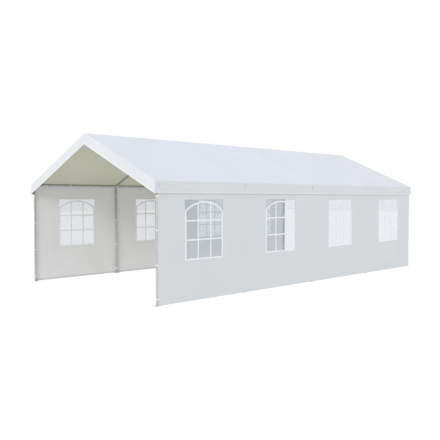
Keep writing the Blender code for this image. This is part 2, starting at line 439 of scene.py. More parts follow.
def foot_plate():
    """A square plate with round corners and a peg hole in each quarter."""
    bm = bmesh.new()
    bmesh.ops.create_grid(bm, x_segments=2, y_segments=2, size=FOOT_SIZE / 2)
    corners = [vert for vert in bm.verts if vert.co.length > FOOT_SIZE * 0.6]
    bmesh.ops.bevel(
        bm, geom=corners, offset=0.012, offset_type="OFFSET", segments=5,
        affect="VERTICES", profile=0.5, material=-1,
    )
    for face in list(bm.faces):
        hole = Vector((math.copysign(1, face.calc_center_median().x),
                       math.copysign(1, face.calc_center_median().y), 0)) * FOOT_SIZE * 0.27
        ring = bmesh.ops.create_circle(
            bm, segments=PEG_HOLE_SIDES, radius=PEG_HOLE_RADIUS,
            matrix=Matrix.Translation(hole),
        )
        edges = {edge for vert in ring["verts"] for edge in vert.link_edges}
        outline = list(edges) + list(face.edges)
        bmesh.ops.delete(bm, geom=[face], context="FACES_ONLY")
        bmesh.ops.triangle_fill(bm, use_beauty=True, use_dissolve=False, edges=outline)
    bmesh.ops.recalc_face_normals(bm, faces=bm.faces)
    if sum(face.normal.z for face in bm.faces) < 0:
        bmesh.ops.reverse_faces(bm, faces=bm.faces)
    bmesh.ops.solidify(bm, geom=bm.faces, thickness=FOOT_THICKNESS)
    lowest = min(vert.co.z for vert in bm.verts)
    bmesh.ops.translate(bm, vec=(0, 0, -lowest), verts=bm.verts)
    return bm


# %% Model a leg about its own axis
JOINT_HEIGHT = EAVE_HEIGHT - FITTING_REACH
WELD_BULGE = 0.0028


def leg_skin(name, rail_behind, rail_ahead):
    """The tube, the elbow and the arms of a right-hand leg."""
    uphill_turn = -(math.pi / 2 - PITCH)
    straight = ELBOW_RADIUS * math.tan(abs(uphill_turn) / 2)
    post = bmesh.new()
    tube = Nozzle(post, (0, 0, FOOT_THICKNESS / 2), UPWARD, TUBE_RADIUS + WELD_BULGE)
    tube.push(FOOT_THICKNESS)
    tube.push(WELD_BULGE * 0.7, TUBE_RADIUS + WELD_BULGE * 0.6)
    tube.push(WELD_BULGE * 0.7, TUBE_RADIUS)
    tube.push(JOINT_HEIGHT - tube.centre.z)
    tube.groove()
    tube.push(EAVE_HEIGHT - straight - tube.centre.z)
    tube.bend(ALONG, uphill_turn, ELBOW_RADIUS)
    tube.push(FITTING_REACH - straight - RIM)
    tube.push(RIM, TUBE_RADIUS - RIM / 2)
    tube.push(0.0, SPIGOT_RADIUS)
    tube.push(SPIGOT_REACH - FITTING_REACH - RIM)
    tube.close()
    arms = []
    for way, present in ((-1, rail_behind), (1, rail_ahead)):
        if present:
            bm = bmesh.new()
            arm = Nozzle(bm, (0, 0, EAVE_HEIGHT), ALONG * way, ARM_RADIUS)
            arm.push(FITTING_REACH - RIM)
            arm.push(RIM, ARM_RADIUS - RIM / 2)
            arm.push(0.0, SPIGOT_RADIUS)
            arm.push(SPIGOT_REACH - FITTING_REACH - RIM)
            arm.close()
            arms.append(bm)
    skin = join_meshes(name, post, arms)
    add_button(skin, (-TUBE_RADIUS, 0, JOINT_HEIGHT - 0.030), -ACROSS)
    return skin


# %% Put the ten legs in place
plate = foot_plate()
plate_mesh = bpy.data.meshes.new("foot plate")
plate.to_mesh(plate_mesh)
plate.free()
for index, place in enumerate(FRAME_PLACES):
    for side in SIDES:
        neighbours = [index > 0, index < FRAME_COUNT - 1]
        if side == "left":
            neighbours.reverse()
        leg = leg_skin(f"leg {side} {index + 1}", *neighbours)
        for face in leg.faces:
            face.material_index = 0
        tube_faces = len(leg.faces)
        leg.from_mesh(plate_mesh)
        leg.faces.ensure_lookup_table()
        for face in leg.faces[tube_faces:]:
            face.material_index = 1
        spot = Matrix.Translation((0, place, 0)) @ SIDE_TURN[side]
        leg.transform(spot @ Matrix.Translation((HALF_WIDTH, 0, 0)))
        add_piece(
            f"leg_tube_{side}_{index + 1}", leg, (coated_steel, bright_zinc),
            [f"leg_{side}_{index + 1}"],
        )
leg_faces = len(pieces_made["leg_tube_left_1"].data.polygons)
print("legs:", 2 * FRAME_COUNT, "each with", leg_faces, "faces")

# %% [markdown]
# ## Rafters, eave rails and the ridge
#
# Rafters and rails are straight lengths of the same tube, so they are real
# tubes here too, with a wall and two open ends. The spigots of the fittings
# go inside them. The ridge pole is one long pole through the five bent
# connectors at the top.

# %% Rafters and rails
FIT = 0.0003
uphill = Vector((-math.cos(PITCH), 0, math.sin(PITCH)))
eave = Vector((HALF_WIDTH, 0, EAVE_HEIGHT))
under_rafter = Vector((-math.sin(PITCH), 0, -math.cos(PITCH)))
BUTTON_INSET = 0.030

for side in SIDES:
    for index, place in enumerate(FRAME_PLACES):
        length = RAFTER_LENGTH - 2 * (FITTING_REACH + FIT)
        rafter = bmesh.new()
        add_open_tube(rafter, eave + uphill * (FITTING_REACH + FIT), uphill, length)
        for along in (BUTTON_INSET, length - BUTTON_INSET):
            foot = eave + uphill * (FITTING_REACH + FIT + along) + under_rafter * TUBE_RADIUS
            add_button(rafter, foot, under_rafter)
        rafter.transform(Matrix.Translation((0, place, 0)) @ SIDE_TURN[side])
        name = f"rafter_tube_{side}_{index + 1}"
        add_piece(name, rafter, [coated_steel], [f"rafter_{side}_{index + 1}"])
    for index, place in enumerate(FRAME_PLACES[:-1]):
        length = BAY - 2 * (FITTING_REACH + FIT)
        rail = bmesh.new()
        add_open_tube(rail, eave + ALONG * (FITTING_REACH + FIT - BAY / 2), ALONG, length)
        for along in (BUTTON_INSET, length - BUTTON_INSET):
            foot = eave + ALONG * (FITTING_REACH + FIT + along - BAY / 2)
            add_button(rail, foot - ACROSS * TUBE_RADIUS, -ACROSS)
        rail.transform(Matrix.Translation((0, place + BAY / 2, 0)) @ SIDE_TURN[side])
        name = f"eave_rail_tube_{side}_{index + 1}"
        add_piece(name, rail, [coated_steel], [f"eave_rail_{side}_{index + 1}"])
print("rafters:", 2 * FRAME_COUNT, "rails:", 2 * (FRAME_COUNT - 1))

# %% Ridge connectors
TOP_BEND_RADIUS = 0.040
POLE_RADIUS = (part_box("ridge_pole")[1].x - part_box("ridge_pole")[0].x) / 2
POLE_BORE = POLE_RADIUS + FIT


def ridge_fitting(name, reach_back, reach_front):
    """The bent tube over the ridge, with a sleeve for the pole."""
    straight = TOP_BEND_RADIUS * math.tan(PITCH)
    top = Vector((0, 0, RIDGE_HEIGHT))
    downhill = Vector((math.cos(PITCH), 0, -math.sin(PITCH)))
    bend = bmesh.new()
    tube = Nozzle(bend, top + downhill * (SPIGOT_REACH), -downhill, SPIGOT_RADIUS - RIM)
    tube.push(RIM, SPIGOT_RADIUS)
    tube.push(SPIGOT_REACH - FITTING_REACH - RIM)
    tube.push(0.0, TUBE_RADIUS - RIM / 2)
    tube.push(RIM, TUBE_RADIUS)
    tube.push(FITTING_REACH - straight - RIM)
    tube.bend(ALONG, -2 * PITCH, TOP_BEND_RADIUS)
    tube.push(FITTING_REACH - straight - RIM)
    tube.push(RIM, TUBE_RADIUS - RIM / 2)
    tube.push(0.0, SPIGOT_RADIUS)
    tube.push(SPIGOT_REACH - FITTING_REACH - RIM)
    tube.close()
    sleeve = bmesh.new()
    outside = Nozzle(sleeve, top - ALONG * reach_back, ALONG, ARM_RADIUS - RIM)
    outside.push(RIM, ARM_RADIUS)
    outside.push(reach_back + reach_front - 2 * RIM)
    outside.close()
    bore = bmesh.new()
    inside = Nozzle(bore, top - ALONG * (reach_back + 0.01), ALONG, POLE_BORE)
    inside.push(reach_back + reach_front + 0.02)
    bmesh.ops.edgeloop_fill(bore, edges=inside.edges)
    welded = join_meshes(f"{name} skin", bend, [sleeve])
    return join_meshes(name, welded, [bore], "DIFFERENCE")


for index, place in enumerate(FRAME_PLACES):
    reach_back = TUBE_RADIUS if index == 0 else FITTING_REACH
    reach_front = TUBE_RADIUS if index == FRAME_COUNT - 1 else FITTING_REACH
    fitting = ridge_fitting(f"fitting {index + 1}", reach_back, reach_front)
    fitting.transform(Matrix.Translation((0, place, 0)))
    name = f"ridge_fitting_{index + 1}"
    add_piece(name, fitting, [coated_steel], [f"ridge_connector_{index + 1}"])

# %% The ridge pole, in four lengths with a plastic cap at each end
pole = bmesh.new()
pole_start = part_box("ridge_pole")[0].y
nozzle = Nozzle(pole, (0, pole_start, RIDGE_HEIGHT), ALONG, POLE_RADIUS - 2 * RIM)
nozzle.push(2 * RIM, POLE_RADIUS)
nozzle.push(0.004)
nozzle.groove()
for place in FRAME_PLACES[1:-1]:
    nozzle.push(place + FITTING_REACH + 0.012 - nozzle.centre.y)
    nozzle.groove()
nozzle.push(-pole_start - 0.006 - nozzle.centre.y)
nozzle.groove()
nozzle.push(-pole_start - RIM - nozzle.centre.y)
nozzle.close()
add_piece("ridge_tube", pole, [coated_steel], ["ridge_pole"])
print("ridge pole from", pole_start, "in", FRAME_COUNT - 1, "lengths")

# %% [markdown]
# ## The woven sheet
#
# The cover and the walls are woven from flat plastic tapes and coated on both
# sides. Close up, the tapes show as a fine check of bumps under the coat, and
# from afar the sheet looks almost even, with faint clouds of tone. The sheet
# has its own map, in metres of flat cloth, so the weave follows every fold.
# A second value on the mesh says how far down its hanging edge a point lies,
# which tells the finish where the hem and its stitches are.

# %% Weave, welded seams, hem stitches
TAPE_WIDTH = 0.0028
SEAM_WIDTH = 0.030
HEM_WIDTH = 0.030
STITCH = 0.007


def woven_sheet(name, shaded, lit, hem_tone, drop_length, roughness=0.44):
    """A finish for coated woven plastic, with tones from shaded to lit."""
    sheet = Finish(name, {"Specular IOR Level": 0.32})
    flat = sheet.add("ShaderNodeUVMap", {"uv_map": "cloth"})
    split = sheet.add("ShaderNodeSeparateXYZ", {}, {0: flat}).socket.node
    across, along = Wire(sheet, split.outputs[0]), Wire(sheet, split.outputs[1])
    tapes = across.wave(2 * TAPE_WIDTH) * along.wave(2 * TAPE_WIDTH)

    drop = sheet.add("ShaderNodeAttribute", {"attribute_name": "drop"}, output="Fac")
    from_frame = along.from_nearest(BAY)
    seam = 1 - from_frame.within(SEAM_WIDTH / 2 - 0.001, SEAM_WIDTH / 2)
    hem = drop.within(drop_length - HEM_WIDTH - 0.001, drop_length - HEM_WIDTH)
    on_stitch = abs(drop - (drop_length - HEM_WIDTH + 0.003)) < 0.0007
    dashes = (across + along).wave(STITCH) > -0.3
    thread = on_stitch * dashes

    clouds = sheet.spots(flat, 0.9, 3.0)
    grain = sheet.spots(flat, 34.0, 3.0)
    cloth = sheet.blend(clouds.within(0.28, 0.72), colour(*shaded), colour(*lit))
    marked = sheet.blend(grain * 0.10, cloth, colour(*(0.93 * tone for tone in shaded)))
    # The hem band and the seams take the hem colour. Both are doubled cloth; where the hem colour
    # is lighter than the cloth, as on the cover, the hem band is also a painted highlight.
    hem_and_seam_bands = sheet.blend(hem * 0.4 + seam * 0.12, marked, colour(*hem_tone))
    sewn = sheet.blend(thread * 0.5, hem_and_seam_bands, colour(0.55, 0.57, 0.58))
    height = tapes * 0.12 + seam * 0.8 + hem * 0.5 - thread * 0.8 + grain * 0.2
    sheet.surface(
        base_color=sewn,
        roughness=clouds * 0.10 + grain * 0.08 + (roughness - 0.08),
        normal=sheet.relief(height, 0.0005, 0.6),
    )
    return sheet


# %% Cloth thickness, and the turned-in hem
CLOTH = 0.0012
HEM_PATH = (
    (0.0008, -0.0008), (0.0019, -0.0008), (0.0028, 0.0),
    (0.0030, HEM_WIDTH / 2), (0.0030, HEM_WIDTH),
)


def smooth(value):
    """Rises softly from 0 at 0 to 1 at 1."""
    value = min(max(value, 0.0), 1.0)
    return value * value * (3 - 2 * value)


def extrude_rim(bm, edges):
    """Extrude open edges, and pair every new corner with the one it left."""
    made = bmesh.ops.extrude_edge_only(bm, edges=edges)["geom"]
    new_edges = [part for part in made if isinstance(part, bmesh.types.BMEdge)]
    new_verts = {part for part in made if isinstance(part, bmesh.types.BMVert)}
    left = {}
    for vert in new_verts:
        for edge in vert.link_edges:
            other = edge.other_vert(vert)
            if other not in new_verts:
                left[vert] = other
    return new_edges, left


def turn_hem(bm, edges, rim, follow, drop_layer):
    """Fold a strip of the sheet back on its inside.

    rim holds what is known of each corner of the rim. From that, follow finds
    the place on the sheet at a distance back from the rim, the way through to
    the sheet's inner side, and how far down that place hangs.
    """
    for depth, back in HEM_PATH:
        edges, left = extrude_rim(bm, edges)
        rim = {vert: rim[old] for vert, old in left.items()}
        for vert, known in rim.items():
            place, through, drop = follow(known, back)
            vert.co = place + through * depth
            vert[drop_layer] = drop


def finish_sheet(piece, lining=True):
    """Give a sheet its thickness, on the inner side of its skin."""
    solid = piece.modifiers.new("thickness", "SOLIDIFY")
    solid.thickness = CLOTH
    solid.offset = -1.0
    solid.use_even_offset = False
    solid.material_offset = 1 if lining else 0
    return piece


def write_map(bm, layer):
    """Turn each corner's place on the flat cloth into the map named cloth."""
    uv = bm.loops.layers.uv.new("cloth")
    for face in bm.faces:
        for loop in face.loops:
            loop[uv].uv = loop.vert[layer].xy


# %% [markdown]
# ## The cover
#
# The cover is one big sheet. It runs over the ridge, down both slopes, folds
# over the eave rails and hangs down as a valance 20 cm deep all round. It is
# held up only at the frames, so it sags a little between them. The script
# starts with a flat grid, shapes it like the roof, and then extrudes its
# outline row by row, first round the fold and then down the valance, so the
# whole cover stays one sheet.

# %% Shape of the roof
RIDGE_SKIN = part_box("roof_cover")[1].z
RIDGE_ROUNDING = 0.006
ROOF_SAG = 0.020
EAVE_FOLD = 0.024
GABLE_FOLD = 0.012
VALANCE_DEPTH = 0.200
VALANCE_LEAN = math.radians(2.0)
GABLE_LEAN = math.radians(3.2)
VALANCE_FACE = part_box("valance_right")[1].x + 0.0006

roof_edge = VALANCE_FACE - EAVE_FOLD * (1 - math.sin(PITCH))
gable_swing = GABLE_FOLD * math.cos(GABLE_LEAN) + VALANCE_DEPTH * math.sin(GABLE_LEAN)
roof_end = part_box("valance_back")[1].y - gable_swing


def roof_skin(x, y):
    """Height of the top of the cover."""
    taut = RIDGE_SKIN - SLOPE * math.hypot(x, RIDGE_ROUNDING)
    share = (y / BAY) % 1.0
    between = 4 * share * (1 - share)
    up_slope = min(abs(x) / roof_edge, 1.0)
    belly = math.sin(math.pi * up_slope)
    ripple = noise.noise(Vector((x * 1.4, y * 1.1, 0.0))) * (0.0007 + 0.003 * between)
    return taut - ROOF_SAG * between * belly + ripple * belly


print(f"the roof is {2 * roof_edge:.3f} m wide between its folds, {2 * roof_end:.3f} m long")

# %% How the cloth falls over an edge
FOLD_ROWS = 5
HANGING_ROWS = 15
ROWS = [((row + 1) / FOLD_ROWS, 0.0) for row in range(FOLD_ROWS)]
ROWS += [(1.0, (row + 1) / HANGING_ROWS) for row in range(HANGING_ROWS)]


def fall(start, lean, radius, depth, bent, hung):
    """How far out, how far down and how long the cloth is at a row.

    It starts at an angle, bends over a radius until only a lean from upright
    is left, and hangs straight to the depth.
    """
    end = math.pi / 2 - lean
    angle = start + (end - start) * bent
    bend_depth = radius * (math.cos(start) - math.cos(end))
    straight = (depth - bend_depth) / math.sin(end)
    out = radius * (math.sin(angle) - math.sin(start)) + hung * straight * math.cos(end)
    down = radius * (math.cos(start) - math.cos(angle)) + hung * straight * math.sin(end)
    return out, down, radius * (angle - start) + hung * straight


side_depth = roof_skin(roof_edge, 0.0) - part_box("valance_right")[0].z


def side_fall(bent, hung):
    return fall(PITCH, VALANCE_LEAN, EAVE_FOLD, side_depth, bent, hung)


def gable_fall(bent, hung):
    return fall(0.0, GABLE_LEAN, GABLE_FOLD, VALANCE_DEPTH, bent, hung)


side_strip = side_fall(1.0, 1.0)[2]
gable_strip = gable_fall(1.0, 1.0)[2]
print(f"valance strips: {side_strip:.3f} m at the eaves, {gable_strip:.3f} m at the gables")

# %% [markdown]
# The cover is pulled at its corners, so folds fan out from each one, along
# the side valance and up the gable valance. A sine of the angle round the
# corner makes such a fan. Taking the sine without its sign and squaring what
# is left turns its waves into narrow creases, as stiff coated cloth makes
# them, and the fan fades out with the distance and at the doubled hem.

# %% Folds that fan out from a corner
FAN_FREQUENCY = 17.0
FAN_START = 0.09
FAN_REACH = 0.70
FAN_STEEPNESS = 0.045
BLEND_LENGTH = 0.06


def fan_folds(away, below, depth, turn):
    """How far a fold lifts the cloth, away along the edge and below it.

    The doubled hem is stiff, so the folds die out as they reach it.
    """
    reach = math.hypot(away, below)
    angle = math.atan2(below, away + 0.03)
    fade = smooth((away - FAN_START) / 0.12) * math.exp(-((reach / FAN_REACH) ** 2))
    fade *= smooth(below / 0.05) * (1 - 0.9 * smooth((below - depth + 0.075) / 0.045))
    crease = (1 - abs(math.sin(FAN_FREQUENCY / 2 * angle + turn))) ** 2 - 0.25
    return fade * reach * FAN_STEEPNESS * crease


def hang(corner, way_x, way_y, bent, hung):
    """Place of a rim corner after some rows, and its place on the flat cloth."""
    side_out, side_down, side_run = side_fall(bent, hung)
    gable_out, gable_down, gable_run = gable_fall(bent, hung)
    point = corner.copy()
    flat = Vector((corner.x / math.cos(PITCH), corner.y))
    to_eave = smooth(1 - (roof_edge - abs(corner.x)) / BLEND_LENGTH)
    down = gable_down + (side_down - gable_down) * to_eave if way_y else side_down
    if way_x:
        ripple = noise.noise(Vector((corner.y * 2.1, hung * 0.6, way_x))) * 0.0022 * hung
        folds = 0.0 if way_y else fan_folds(roof_end - abs(corner.y), down, side_depth, way_x + 0.6)
        point.x += way_x * (side_out + ripple + folds)
        flat.x += way_x * side_run
    if way_y:
        ripple = noise.noise(Vector((corner.x * 2.3, hung * 0.6, way_y))) * 0.0025 * hung
        away = (roof_edge - abs(corner.x)) / math.cos(PITCH)
        folds = 0.0 if way_x else fan_folds(away, down, VALANCE_DEPTH, way_y + 2.0)
        point.y += way_y * (gable_out + ripple + folds)
        flat.y += way_y * gable_run
    point.z -= down
    return point, flat, side_run if way_x and not way_y else gable_run


# %% The flat grid becomes the roof
HALF_COLUMNS = 44
LENGTH_CELLS = 236
RIDGE_STATIONS = (0.0, 0.004, 0.009, 0.016, 0.027, 0.045)

cell = (roof_edge - RIDGE_STATIONS[-1]) / (HALF_COLUMNS - len(RIDGE_STATIONS) + 1)
stations = list(RIDGE_STATIONS)
while len(stations) <= HALF_COLUMNS:
    stations.append(stations[-1] + cell)

cover = bmesh.new()
bmesh.ops.create_grid(cover, x_segments=2 * HALF_COLUMNS, y_segments=LENGTH_CELLS, size=1.0)
flat_layer = cover.verts.layers.float_vector.new("flat")
drop_layer = cover.verts.layers.float.new("drop")
for vert in cover.verts:
    column = round(vert.co.x * HALF_COLUMNS)
    x = math.copysign(stations[abs(column)], column)
    y = vert.co.y * roof_end
    vert.co = (x, y, roof_skin(x, y))
    vert[flat_layer] = (x / math.cos(PITCH), y, 0.0)
print("roof grid:", len(cover.faces), "cells")

# %% The outline is extruded into the fold and the valance
rim = {}
for vert in cover.verts:
    if vert.is_boundary:
        way_x = (vert.co.x > roof_edge - 0.001) - (vert.co.x < 0.001 - roof_edge)
        way_y = (vert.co.y > roof_end - 0.001) - (vert.co.y < 0.001 - roof_end)
        rim[vert] = (vert.co.copy(), way_x, way_y)
rim_edges = [edge for edge in cover.edges if edge.is_boundary]
for bent, hung in ROWS:
    rim_edges, left = extrude_rim(cover, rim_edges)
    rim = {vert: rim[old] for vert, old in left.items()}
    for vert, (corner, way_x, way_y) in rim.items():
        point, flat, run = hang(corner, way_x, way_y, bent, hung)
        vert.co = point
        vert[flat_layer] = (flat.x, flat.y, 0.0)
        vert[drop_layer] = run


def up_the_valance(known, back):
    corner, way_x, way_y = known
    place, _, run = hang(corner, way_x, way_y, 1.0, 1 - back / VALANCE_DEPTH)
    return place, Vector((-way_x, -way_y, 0.0)), run


turn_hem(cover, rim_edges, rim, up_the_valance, drop_layer)
write_map(cover, flat_layer)
bmesh.ops.recalc_face_normals(cover, faces=cover.faces)
if sum(face.normal.z * face.calc_area() for face in cover.faces) < 0:
    bmesh.ops.reverse_faces(cover, faces=cover.faces)
print("cover:", len(cover.faces), "cells")

# %% Its finishes, and the cover as a piece
# The cover's hem colour is lighter than its cloth: along the valance hems it is a painted
# highlight, laid over the tone of the doubled cloth.
cover_skin = woven_sheet(
    "cover cloth", (0.568, 0.582, 0.595), (0.59, 0.604, 0.618), (0.66, 0.675, 0.685), side_strip
)
# The underside is the same white cloth as the top. Its dark olive colour is painted shade, with a
# painted warm cast of the light that comes through the cloth.
cover_lining_painted_shade = woven_sheet(
    "cover lining painted shade", (0.505, 0.51, 0.40), (0.53, 0.535, 0.425), (0.58, 0.58, 0.49), side_strip, 0.55
)
cover_piece = finish_sheet(add_piece(
    "cover_sheet", cover, (cover_skin, cover_lining_painted_shade),
    ["roof_cover", "valance_left", "valance_right", "valance_front", "valance_back"],
    closed=False,
))

# %% [markdown]
# ## The side walls
#
# A wall is one sheet, 8 metres long, tied to the rail and to every leg. It
# hangs nearly flat and bellies out a few millimetres between the legs. The
# windows are cut by slicing the grid along their edges and deleting the
# cells inside, so that the holes have clean corners. All four outer edges
# are hemmed to the inside.

# %% Shape of a wall
wall_low, wall_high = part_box("side_wall_right")
WALL_SKIN = wall_high.x
WALL_TOP = wall_high.z
WALL_FOOT = wall_low.z + 0.001
WALL_CELL = 0.040
WALL_RIM = HEM_WIDTH * 4
BELLY = 0.0025
BELLY_RIPPLE = 0.0035

window_low, window_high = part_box("window_right_1")
WINDOW_HALF = round(window_high.y - window_low.y, 2) / 2
SILL = round(window_low.z, 2)
HEAD = round(window_high.z, 2)
WINDOW_PLACES = [place + BAY / 2 for place in FRAME_PLACES[:-1]]


def wall_belly(y, z):
    """How far a wall stands out from the plane of the legs."""
    between = math.sin(math.pi * y / BAY) ** 2
    height = (z - WALL_FOOT) / (WALL_TOP - WALL_FOOT)
    loose = smooth((1 - height) / 0.4) * (0.6 + 0.4 * math.sin(math.pi * height))
    ripple = 0.5 + 0.5 * noise.noise(Vector((y * 1.7, z * 0.7, 5.0)))
    return between * loose * (BELLY + BELLY_RIPPLE * ripple)


# %% Cut and hem a wall
def upright_grid(bm, low_y, high_y, low_z, high_z, cell, x):
    """A grid in the plane of a wall that faces +X."""
    columns = max(round((high_y - low_y) / cell), 1)
    rows = max(round((high_z - low_z) / cell), 1)
    turn = Matrix(((0, 0, 1, 0), (1, 0, 0, 0), (0, 1, 0, 0), (0, 0, 0, 1)))
    centre = Matrix.Translation((x, (low_y + high_y) / 2, (low_z + high_z) / 2))
    spread = Matrix.Diagonal(((high_y - low_y) / 2, (high_z - low_z) / 2, 1, 1))
    return bmesh.ops.create_grid(
        bm, x_segments=columns, y_segments=rows, size=1.0, matrix=centre @ turn @ spread
    )["verts"]


def slice_grid(bm, point, direction):
    everything = bm.verts[:] + bm.edges[:] + bm.faces[:]
    bmesh.ops.bisect_plane(bm, geom=everything, plane_co=point, plane_no=direction)


def inside_window(y, z):
    nearest = min(WINDOW_PLACES, key=lambda place: abs(place - y))
    return abs(y - nearest) < WINDOW_HALF and SILL < z < HEAD


def up_the_wall(known, back):
    y, z, along, up = known
    y, z = y + along * back, z + up * back
    edge_distance = min(z - WALL_FOOT, WALL_TOP - z, HALF_LENGTH - abs(y))
    return Vector((WALL_SKIN + wall_belly(y, z), y, z)), -ACROSS, WALL_RIM - edge_distance


def wall_sheet():
    bm = bmesh.new()
    upright_grid(bm, -HALF_LENGTH, HALF_LENGTH, WALL_FOOT, WALL_TOP, WALL_CELL, WALL_SKIN)
    flat = bm.verts.layers.float_vector.new("flat")
    drop = bm.verts.layers.float.new("drop")
    for height in (SILL, HEAD):
        slice_grid(bm, (0, 0, height), UPWARD)
    for place in WINDOW_PLACES:
        slice_grid(bm, (0, place - WINDOW_HALF, 0), ALONG)
        slice_grid(bm, (0, place + WINDOW_HALF, 0), ALONG)
    open_cells = [face for face in bm.faces if inside_window(*face.calc_center_median().yz)]
    bmesh.ops.delete(bm, geom=open_cells, context="FACES")
    rim = {}
    for vert in bm.verts:
        y, z = vert.co.yz
        low, high = z - WALL_FOOT < 0.0005, WALL_TOP - z < 0.0005
        end = (y < 0.0005 - HALF_LENGTH) - (y > HALF_LENGTH - 0.0005)
        vert[flat] = (z, y, 0.0)
        vert.co, _, drop_here = up_the_wall((y, z, 0, 0), 0.0)
        vert[drop] = max(drop_here, 0.0)
        if low or high or end:
            rim[vert] = (y, z, end, low - high)
    outline = [edge for edge in bm.edges if edge.is_boundary and all(v in rim for v in edge.verts)]
    turn_hem(bm, outline, rim, up_the_wall, drop)
    write_map(bm, flat)
    return bm


# %% Both walls
wall_skin = woven_sheet(
    "wall cloth", (0.556, 0.576, 0.592), (0.577, 0.597, 0.613), (0.57, 0.585, 0.60), WALL_RIM, 0.5
)
# The inner face is the same cloth as the outer one. Its lighter colour is painted light: it stands
# in for daylight that comes through the cloth into the tent.
wall_lining_painted_light = woven_sheet(
    "wall lining painted light", (0.665, 0.665, 0.67), (0.69, 0.69, 0.70), (0.67, 0.67, 0.675), WALL_RIM, 0.55
)
for side in SIDES:
    wall = wall_sheet()
    wall.transform(SIDE_TURN[side])
    finish_sheet(add_piece(
        f"wall_sheet_{side}", wall, (wall_skin, wall_lining_painted_light),
        [f"side_wall_{side}"], closed=False,
    ))

# %% [markdown]
# ## The windows
#
# A window is a sheet of clear film, welded to the inside of the hole all
# round, and a flat white border covers the weld on the inner side. White bars
# are welded to both faces of the film, so that they show from outside and
# from inside: two posts that stop where the arch springs, a sill, an arch,
# and a grid of two upright and two level bars. The film is not flat: it
# buckles slightly as it hangs, and that is what makes its reflections swim.

# %% Film
FILM_OVERLAP = 0.012
FILM_THICKNESS = 0.0005
FILM_GAP = 0.0003
FILM_CELL = 0.045
FILM_BUCKLE = 0.0004
FILM_PLANE = WALL_SKIN - CLOTH - FILM_GAP

film = Finish("window film", {
    "Specular IOR Level": 0.5, "IOR": 1.45,
})
film_place = film.place()
film_haze = film.spots(film_place, 3.0, 2.0)
film_ripple = film.spots(film.add("ShaderNodeMapping", {}, {
    "Vector": film_place, "Scale": (1.0, 5.0, 2.0)}), 1.0, 1.0)
film.surface(
    base_color=film.blend(film_haze, colour(0.44, 0.49, 0.56), colour(0.47, 0.52, 0.59)),
    alpha=film_haze * 0.04 + 0.255,
    roughness=film_haze * 0.06 + 0.12,
    normal=film.relief(film_ripple, 0.003, 0.25),
)


def film_sheet(middle_y):
    bm = bmesh.new()
    verts = upright_grid(
        bm, middle_y - WINDOW_HALF - FILM_OVERLAP, middle_y + WINDOW_HALF + FILM_OVERLAP,
        SILL - FILM_OVERLAP, HEAD + FILM_OVERLAP, FILM_CELL, FILM_PLANE,
    )
    for vert in verts:
        y, z = vert.co.yz
        inset = min(WINDOW_HALF - abs(y - middle_y), z - SILL, HEAD - z)
        buckle = noise.noise(Vector((y * 4.0, z * 2.2, 9.0))) * FILM_BUCKLE * smooth(inset / 0.1)
        vert.co.x += wall_belly(y, z) + buckle
    return bm


# %% The outline of a bar, pushed and bent like a tube
ARCH_TOP = 1.6425
ARCH_SPRING = 1.495
POST_WIDTH = 0.030
BAR_WIDTH = 0.026
BAR_EDGE = 0.0005
BAR_CROWN = 0.0004
BAR_LAYER = 0.0003
BAR_GAP = 0.0005
BORDER_LIP = 0.002
POST_MIDDLE = WINDOW_HALF - POST_WIDTH / 2
ARCH_RADIUS = (POST_MIDDLE ** 2 + (ARCH_TOP - ARCH_SPRING) ** 2) / (2 * (ARCH_TOP - ARCH_SPRING))
ARCH_ANGLE = math.asin(POST_MIDDLE / ARCH_RADIUS)
LEVEL_BARS = (1.015, 1.333)
UPRIGHT_BARS = (-WINDOW_HALF / 3, WINDOW_HALF / 3)


class Strip(Nozzle):
    """A nozzle with a flat outline, for bars and webbing."""

    def __init__(self, bm, start, direction, outward, width, rise, crown=0.0):
        self.bm = bm
        self.centre = Vector(start)
        self.direction = Vector(direction).normalized()
        outward = Vector(outward).normalized()
        sideways = self.direction.cross(outward)
        half = width / 2
        outline = [(-half, 0), (half, 0), (half, rise)]
        outline += [(half * 0.8, rise + crown), (-half * 0.8, rise + crown)] if crown else []
        outline.append((-half, rise))
        corners = [bm.verts.new(self.centre + sideways * s + outward * o) for s, o in outline]
        pairs = zip(corners, corners[1:] + corners[:1])
        self.edges = [bm.edges.new(pair) for pair in pairs]
        bmesh.ops.edgeloop_fill(bm, edges=self.edges)

    def run(self, distance, steps):
        for _ in range(steps):
            self.push(distance / steps)

    def finish(self):
        bmesh.ops.edgeloop_fill(self.bm, edges=self.edges)


def add_bars(bm, middle_y, base, outward):
    """The bars on one face of a film: outward is the way that face looks."""

    def start(y, z, layer):
        return base + outward * layer * BAR_LAYER + Vector((0, middle_y + y, z))

    def straight(y, z, direction, length, width, layer):
        bar = Strip(bm, start(y, z, layer), direction, outward, width, BAR_EDGE, BAR_CROWN)
        bar.run(length, max(round(length / 0.05), 2))
        bar.finish()

    for way in (-1, 1):
        straight(way * POST_MIDDLE, SILL, UPWARD, ARCH_SPRING - SILL, POST_WIDTH, 1)
    foot = SILL + BAR_WIDTH / 2
    for y in UPRIGHT_BARS:
        top = ARCH_TOP - ARCH_RADIUS + math.sqrt(ARCH_RADIUS ** 2 - y ** 2)
        straight(y, foot, UPWARD, top - foot, BAR_WIDTH, 0)
    for z in LEVEL_BARS:
        straight(-POST_MIDDLE, z, ALONG, 2 * POST_MIDDLE, BAR_WIDTH, 1)
    straight(-WINDOW_HALF, foot, ALONG, 2 * WINDOW_HALF, BAR_WIDTH, 2)

    heading = Vector((0, -math.cos(ARCH_ANGLE), math.sin(ARCH_ANGLE)))
    spring = start(POST_MIDDLE, ARCH_SPRING, 2)
    arch = Strip(bm, spring, heading, outward, BAR_WIDTH, BAR_EDGE, BAR_CROWN)
    arch.bend(ACROSS, 2 * ARCH_ANGLE, ARCH_RADIUS, steps=28)
    arch.finish()


